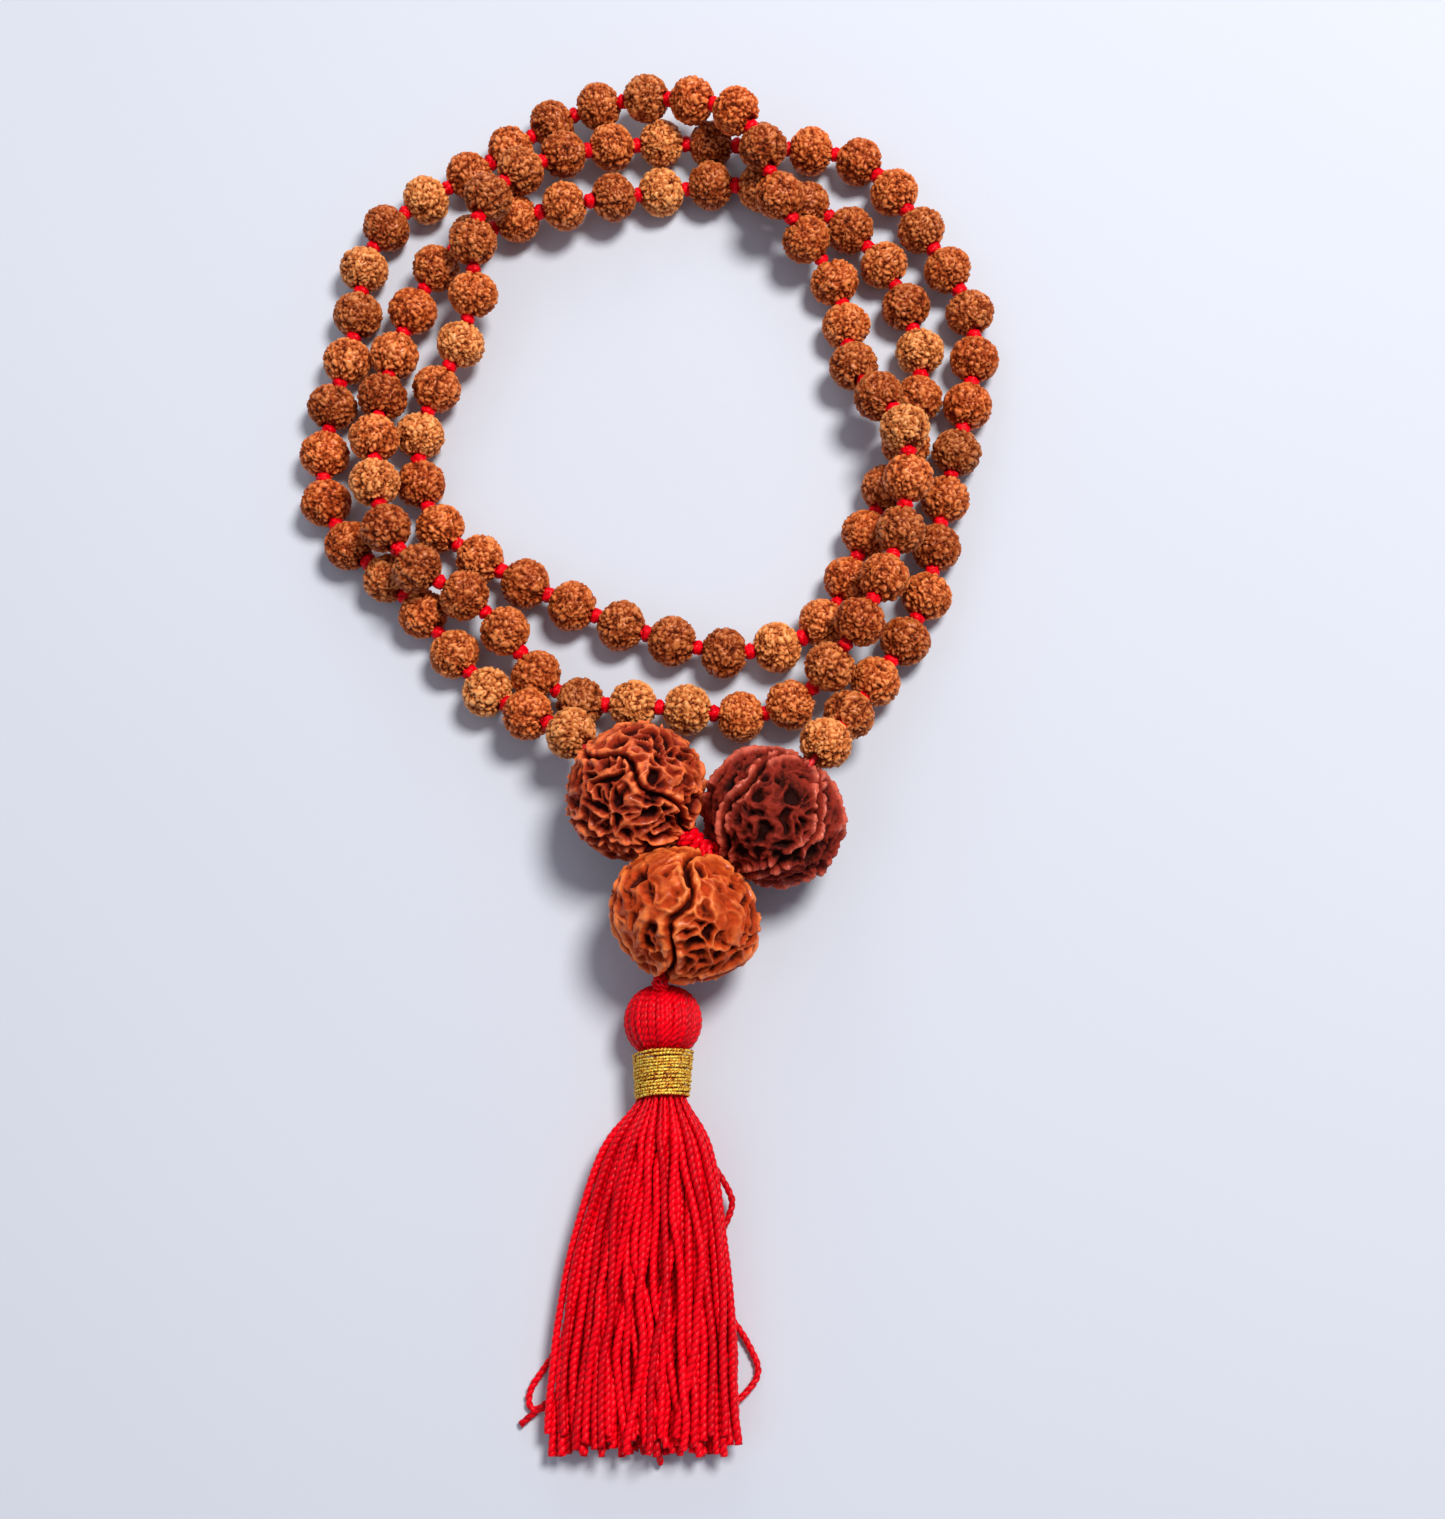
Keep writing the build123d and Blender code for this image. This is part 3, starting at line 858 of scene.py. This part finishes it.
# ---------------------------------------------------------------- tassel
class MALA_OT_tassel_head(bpy.types.Operator):
    """Wrap the head in yarns laid from its top to the binding, round the knot inside it"""
    bl_idname = "mala.tassel_head"
    bl_label = "Tassel Head"

    def execute(self, context):
        settings = context.scene.mala_tassel
        colour = context.scene.mala_thread.thread_colour
        material = yarn_material("red_yarn_skin", colour)
        low, high = (np.array(corner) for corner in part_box("tassel_head"))
        centre = np.array([(low[0] + high[0]) / 2, high[1] - (high[0] - low[0]) / 2, (low[2] + high[2]) / 2])
        outer = (high[0] - low[0]) / 2
        rng = random.Random(61)
        shells, tones = [], []
        thick = math.pi * outer / settings.head_yarns * 1.55
        for yarn in range(settings.head_yarns):
            lon = 2 * math.pi * (yarn + rng.uniform(-0.15, 0.15)) / settings.head_yarns
            sway = rng.uniform(-0.03, 0.03)
            lat = np.linspace(math.radians(9), math.radians(151), 80)
            turn = lon + sway * np.sin(lat)
            reach = outer - thick * 0.72 + rng.uniform(-0.10, 0.10) * MM
            narrow = np.clip(np.sin(lat) * 1.25, 0.30, 1.0)
            line = centre + reach * np.stack(
                [np.sin(lat) * np.cos(turn), np.cos(lat), np.sin(lat) * np.sin(turn)], axis=1)
            shells.append(yarn_shell(line, thick * narrow, settings.ply_pitch * 0.9, sides=8,
                                     phase=rng.uniform(0, 6.28), waist=0.78))
            tones.append(rng.uniform(0.35, 1.0))
        head = shells_to_object("tassel_head_yarns", shells, tones)
        finish_piece(head, "tassel", "red_yarn", material, "tassel_head")

        clear_selection()
        bpy.ops.mesh.primitive_uv_sphere_add(segments=48, ring_count=24, radius=outer - thick * 0.95)
        filling = context.object
        filling.name = filling.data.name = "tassel_head_filling"
        filling.data.transform(Matrix.Translation(Vector(centre)))
        bpy.ops.object.shade_smooth()
        finish_piece(filling, "tassel", "red_yarn", thread_material(colour), "tassel_head")

        core = middle("tassel_core_knot")
        line = core + knot_line(4.5, 1.5 * MM, 3.4 * MM, 120)
        shell = yarn_shell(line, np.full(120, 0.6 * MM), 2.4 * MM)
        inner = shells_to_object("core_knot_tied", [shell], [0.5])
        finish_piece(inner, "tassel", "red_yarn", material, "tassel_core_knot")

        neck = middle("tassel_neck_knot")
        toward = Vector(middle("tassel_head") - neck).normalized()
        turn = to_axis(neck, toward)
        line = np.array([turn @ Vector(point) for point in knot_line(3.2, 0.95 * MM, 2.3 * MM, 90)])
        shell = yarn_shell(line, np.full(90, 0.42 * MM), 1.8 * MM)
        collar = shells_to_object("neck_knot_tied", [shell], [0.9])
        finish_piece(collar, "tassel_neck", "red_yarn", material, "tassel_neck_knot")
        return {"FINISHED"}


def gold_material(colour):
    """Metallic thread: flat foil wound round a core, with a fine slanted wrap, with painted glints and
    painted shade in its colour.
    """
    if "gold_thread_skin" in bpy.data.materials:
        return bpy.data.materials["gold_thread_skin"]
    material, tree, shader = principled("gold_thread_skin")
    fibres = add_node(tree, "ShaderNodeGroup", node_tree=fibre_group())
    fibres.inputs["Across"].default_value = 3.0
    fibres.inputs["Along"].default_value = 1.6
    fibres.inputs["Skew"].default_value = 1.6
    # Painted shade in the gaps and painted glints on the wrap, mixed into the colour by the fibre noise.
    painted_gap_shade = tuple(channel * share for channel, share in zip(colour, (0.26, 0.10, 0.02)))
    painted_glint = tuple(channel * share for channel, share in zip(colour, (1.0, 1.80, 6.0)))
    low = remap(tree, fibres.outputs["Fibre"], 0.38, 0.50)
    high = remap(tree, fibres.outputs["Fibre"], 0.48, 0.56)
    foil = colour_mix(tree, high, colour_mix(tree, low, solid(painted_gap_shade), solid(colour)), solid(painted_glint))
    tree.links.new(foil, shader.inputs["Base Color"])
    tree.links.new(remap(tree, fibres.outputs["Fibre"], 0.3, 0.7, 0.50, 0.22), shader.inputs["Roughness"])
    lift = add_node(tree, "ShaderNodeBump", {"Height": fibres.outputs["Fibre"], "Distance": 0.00010,
                                             "Strength": 0.9})
    tree.links.new(lift.outputs[0], shader.inputs["Normal"])
    shader.inputs["Metallic"].default_value = 0.25
    shader.inputs["Specular IOR Level"].default_value = 0.25
    return material


class MALA_OT_binding(bpy.types.Operator):
    """Wind the metallic thread round the tassel's neck"""
    bl_idname = "mala.binding"
    bl_label = "Gold Binding"

    def execute(self, context):
        settings = context.scene.mala_tassel
        low, high = (np.array(corner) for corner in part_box("gold_binding"))
        centre, length = (low + high) / 2, high[1] - low[1]
        top, bottom = (high[0] - low[0]) / 2, (high[0] - low[0]) / 2 * 0.90
        turns = settings.gold_turns + 0.6
        pitch = length / turns
        share = np.linspace(0, 1, int(turns * 56))
        angle = 2 * np.pi * turns * share
        rng = np.random.default_rng(13)
        stray = np.interp(share, np.linspace(0, 1, 60), rng.uniform(-0.10, 0.10, 60)) * MM
        reach = top + (bottom - top) * share - pitch * 0.5 + stray
        slant = (0.10 * pitch + 0.14 * MM) * np.cos(angle)
        line = np.stack([centre[0] + reach * np.cos(angle),
                         high[1] - pitch * 0.3 - (length - pitch * 0.6) * share + slant,
                         centre[2] + reach * np.sin(angle)], axis=1)
        line[:, 1] += np.interp(share, np.linspace(0, 1, 90), rng.uniform(-0.13, 0.13, 90)) * MM
        shell = yarn_shell(line, np.full(len(line), pitch * 0.54), 1.3 * MM, sides=8, waist=0.80)
        winding = shells_to_object("gold_winding", [shell], [0.9])
        finish_piece(winding, "tassel", "gold_thread", gold_material(settings.gold_colour), "gold_binding")
        return {"FINISHED"}


def disc_places(count):
    """Evenly spread places in a unit disc, as sunflower seeds lie."""
    number = np.arange(count) + 0.5
    reach = np.sqrt(number / count)
    angle = number * math.pi * (3 - math.sqrt(5))
    return np.stack([reach * np.cos(angle), reach * np.sin(angle)], axis=1)


def skirt_envelope():
    """The skirt's outline from its node: the middle and the half sizes of its section, by distance down."""
    points = points_of(frame["nodes"]["tassel_skirt"].data)
    top, bottom = points[:, 1].max(), points[:, 1].min()
    levels = np.linspace(top, bottom, 14)
    rows = []
    for level in levels:
        near = points[np.abs(points[:, 1] - level) < 0.0035]
        low, high = near.min(axis=0), near.max(axis=0)
        rows.append([(low[0] + high[0]) / 2, (low[2] + high[2]) / 2,
                     (high[0] - low[0]) / 2, (high[2] - low[2]) / 2])
    return levels, np.array(rows)


def separate(lines, radii, floor, rounds):
    """Moves the yarns' lines apart where they lie in each other, and keeps them off the table."""
    steps = lines.shape[1]
    for _ in range(rounds):
        for step in range(3, steps):
            row = lines[:, step]
            gap = row[:, None, :] - row[None, :, :]
            gap[..., 1] *= 0.3
            far = np.sqrt((gap**2).sum(axis=-1)) + 1e-9
            need = radii[:, step][:, None] + radii[:, step][None, :]
            push = np.clip(need - far, 0, None) * 0.25 / far
            np.fill_diagonal(push, 0)
            move = (gap * push[..., None]).sum(axis=1)
            move[:, 1] = 0
            row += move
            row[:, 2] = np.maximum(row[:, 2], floor + radii[:, step])
        lines[:, 2:-1] = 0.5 * lines[:, 2:-1] + 0.25 * (lines[:, 1:-2] + lines[:, 3:])
    return lines


class MALA_OT_skirt(bpy.types.Operator):
    """Spread the skirt's twisted yarns on the table"""
    bl_idname = "mala.skirt"
    bl_label = "Tassel Skirt"

    def execute(self, context):
        settings = context.scene.mala_tassel
        material = yarn_material("red_yarn_skin", context.scene.mala_thread.thread_colour)
        levels, rows = skirt_envelope()
        rng = np.random.default_rng(72)
        count, steps = settings.yarns, 46
        full = settings.yarn_diameter / 2
        places = disc_places(count)
        stem_low, stem_high = (np.array(corner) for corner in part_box("tassel_stem"))
        stem_middle, stem_radius = (stem_low + stem_high) / 2, (stem_high[0] - stem_low[0]) / 2
        lines, radii = np.zeros((count, steps, 3)), np.zeros((count, steps))
        for yarn, (across, up) in enumerate(places):
            end = levels[-1] + rng.uniform(0.0, 3.2) * MM
            down = np.linspace(stem_middle[1], end, steps)
            middle_x = np.interp(-down, -levels, rows[:, 0])
            middle_z = np.interp(-down, -levels, rows[:, 1])
            half_x = np.interp(-down, -levels, rows[:, 2]) - full
            half_z = np.interp(-down, -levels, rows[:, 3]) - full
            inside = np.clip((levels[0] - down) / (5.0 * MM), 0, 1)
            half_x = stem_radius * 0.85 * (1 - inside) + half_x * inside
            half_z = stem_radius * 0.85 * (1 - inside) + half_z * inside
            middle_x = stem_middle[0] * (1 - inside) + middle_x * inside
            middle_z = stem_middle[2] * (1 - inside) + middle_z * inside
            travel = np.linspace(0, 1, steps)
            wave = sum(rng.uniform(0.2, 1.0) / k * np.sin(2 * np.pi * (k * travel * 0.8 + rng.uniform()))
                       for k in (1, 2, 3, 4))
            lean = rng.uniform(-1.0, 1.0) * np.sin(np.pi * travel) * 2.2
            room = np.clip(1.2 - np.abs(across), 0.22, 1.0)
            lines[yarn, :, 0] = middle_x + across * half_x + (wave * 2.0 + lean) * room * MM * travel**0.6
            lines[yarn, :, 1] = down
            lines[yarn, :, 2] = middle_z + up * half_z
            radii[yarn] = full * rng.uniform(0.88, 1.08) * np.clip(0.52 + 0.48 * inside, 0, 1)
        lines = separate(lines, radii, 0.0002, 9)
        order = np.argsort(lines[:, -1, 0])
        for part, chosen in enumerate(np.array_split(order, 3)):
            shells, tones = [], []
            for yarn in chosen:
                line = resampled(lines[yarn], 0.00030)
                radius = np.interp(np.linspace(0, 1, len(line)), np.linspace(0, 1, steps), radii[yarn])
                phase = rng.uniform(0, 6.28)
                shells.append(yarn_shell(line, radius, settings.ply_pitch, phase=phase, waist=0.80))
                tones.append(rng.uniform(0.2, 1.0))
            skirt = shells_to_object(f"skirt_yarns_{part + 1}", shells, tones)
            finish_piece(skirt, "tassel", "red_yarn", material, "tassel_skirt", "tassel_stem")
        return {"FINISHED"}


# Yarns that have left the skirt, along the table, in millimetres.
STRAYS = (
    ((-9.5, -88.0, 2.6), (-11.8, -93.3, 1.6), (-14.7, -97.5, 0.8), (-16.9, -100.6, 0.8),
     (-16.6, -103.4, 0.9), (-13.6, -102.6, 1.2), (-10.0, -99.8, 1.4)),
    ((-8.0, -96.0, 2.4), (-10.9, -99.4, 1.8), (-13.7, -101.9, 1.9), (-16.0, -103.5, 0.8),
     (-17.9, -105.2, 0.7)),
    ((9.5, -87.0, 2.6), (13.4, -91.8, 1.2), (15.2, -94.9, 0.8), (16.4, -97.6, 0.8),
     (15.3, -100.1, 0.8), (12.4, -102.6, 1.4)),
    ((-5.4, -67.5, 4.6), (-8.4, -71.0, 4.0), (-9.0, -74.2, 3.6), (-6.6, -78.0, 3.6)),
    ((9.0, -68.0, 4.2), (12.2, -72.4, 3.4), (12.6, -75.4, 3.2), (10.2, -79.5, 3.2)),
    ((1.0, -96.0, 6.6), (2.6, -101.0, 6.4), (1.4, -106.0, 4.6), (2.2, -110.4, 1.2)),
)


class MALA_OT_strays(bpy.types.Operator):
    """Lay the yarns that have strayed from the skirt"""
    bl_idname = "mala.strays"
    bl_label = "Stray Yarns"

    def execute(self, context):
        settings = context.scene.mala_tassel
        material = yarn_material("red_yarn_skin", context.scene.mala_thread.thread_colour)
        rng = random.Random(9)
        shells = []
        for route in STRAYS:
            line = curve_points([Vector(point) * MM for point in route], 0.00030)
            radius = np.full(len(line), settings.yarn_diameter * 0.44)
            phase = rng.uniform(0, 6.28)
            shells.append(yarn_shell(line, radius, settings.ply_pitch, phase=phase, waist=0.74))
        strays = shells_to_object("stray_yarns", shells, [rng.uniform(0.2, 0.7) for _ in shells])
        finish_piece(strays, "tassel", "red_yarn", material, "tassel_skirt")
        return {"FINISHED"}


# ---------------------------------------------------------------- stage
def area_light(name, place, target, size, watts, colour):
    """A round area light that points at a target."""
    data = bpy.data.lights.new(name, "AREA")
    data.shape, data.size, data.energy, data.color = "DISK", size, watts, colour
    light = bpy.data.objects.new(name, data)
    bpy.context.collection.objects.link(light)
    light.location = place
    light.rotation_euler = (Vector(target) - Vector(place)).to_track_quat("-Z", "Y").to_euler()
    return light


def table_material(colour):
    """Plain matt table top with the faintest clouding."""
    material, tree, shader = principled("table_top")
    place = add_node(tree, "ShaderNodeTexCoord").outputs["Object"]
    cloud = noise_field(tree, place, 6.0, 2.0)
    shade = remap(tree, cloud, 0.3, 0.7, 0.985, 1.0)
    tint = add_node(tree, "ShaderNodeHueSaturation", {"Value": shade, "Color": solid(colour)})
    tree.links.new(tint.outputs[0], shader.inputs["Base Color"])
    shader.inputs["Roughness"].default_value = 0.9
    return material


class MALA_OT_stage(bpy.types.Operator):
    """Set the table, the soft lights and the camera"""
    bl_idname = "mala.stage"
    bl_label = "Stage"

    def execute(self, context):
        settings = context.scene.mala_stage
        clear_selection()
        bpy.ops.mesh.primitive_plane_add(size=6.0, location=(0, 0, 0))
        table = context.object
        table.name = "table_top"
        table.data.materials.append(table_material(settings.table_colour))

        aim = Vector((0.011, -0.006, 0.0))
        tilt = settings.camera_tilt
        data = bpy.data.cameras.new("camera")
        data.lens, data.sensor_width = 50.05, 36.0
        data.clip_start = 0.01
        camera = bpy.data.objects.new("camera", data)
        context.collection.objects.link(camera)
        back = Vector((0, -math.sin(tilt), math.cos(tilt)))
        camera.location = aim + back * settings.camera_distance
        camera.rotation_euler = (tilt, 0, 0)
        context.scene.camera = camera

        middle_of_beads = Vector((0.0, 0.02, 0.0))
        area_light("key_light", (0.28, 0.25, 0.78), middle_of_beads, 0.28, 7.8, (1.0, 0.975, 0.94))
        area_light("fill_light", (-0.45, -0.25, 0.55), middle_of_beads, 0.60, 0.5, (0.86, 0.91, 1.0))
        area_light("rim_light", (-0.10, 0.60, 0.30), middle_of_beads, 0.30, 0.6, (1.0, 0.98, 0.96))
        world = context.scene.world or bpy.data.worlds.new("studio")
        context.scene.world = world
        world.use_nodes = True
        background = world.node_tree.nodes["Background"]
        background.inputs["Color"].default_value = (0.80, 0.86, 1.0, 1.0)
        background.inputs["Strength"].default_value = 0.30
        context.scene.view_settings.view_transform = "Standard"
        return {"FINISHED"}


# ---------------------------------------------------------------- panel
class MALA_PT_panel(bpy.types.Panel):
    """Lists the mala's pieces in the order they are made."""
    bl_idname = "MALA_PT_panel"
    bl_label = "Mala"
    bl_space_type = "VIEW_3D"
    bl_region_type = "UI"
    bl_category = "Mala"

    def draw(self, context):
        for operator in OPERATORS:
            self.layout.operator(operator.bl_idname)


SETTINGS = {
    "mala_seeds": MalaSeedSettings,
    "mala_large_seeds": MalaLargeSeedSettings,
    "mala_thread": MalaThreadSettings,
    "mala_tassel": MalaTasselSettings,
    "mala_stage": MalaStageSettings,
}
OPERATORS = (MALA_OT_stage, MALA_OT_strand, MALA_OT_small_seeds, MALA_OT_large_seeds,
             MALA_OT_centre_knot, MALA_OT_tassel_head, MALA_OT_binding, MALA_OT_skirt,
             MALA_OT_strays)


def register():
    """Adds the settings, the operators and the panel."""
    for cls in (*SETTINGS.values(), *OPERATORS, MALA_PT_panel):
        bpy.utils.register_class(cls)
    for name, group in SETTINGS.items():
        setattr(bpy.types.Scene, name, bpy.props.PointerProperty(type=group))


def unregister():
    """Takes them all out again."""
    for name in SETTINGS:
        delattr(bpy.types.Scene, name)
    for cls in (MALA_PT_panel, *reversed(OPERATORS), *SETTINGS.values()):
        bpy.utils.unregister_class(cls)


def main():
    """Makes every piece in order."""
    register()
    bpy.ops.mala.stage()
    bpy.ops.mala.strand()
    bpy.ops.mala.small_seeds()
    bpy.ops.mala.large_seeds()
    bpy.ops.mala.centre_knot()
    bpy.ops.mala.tassel_head()
    bpy.ops.mala.binding()
    bpy.ops.mala.skirt()
    bpy.ops.mala.strays()


if __name__ == "__main__":
    main()
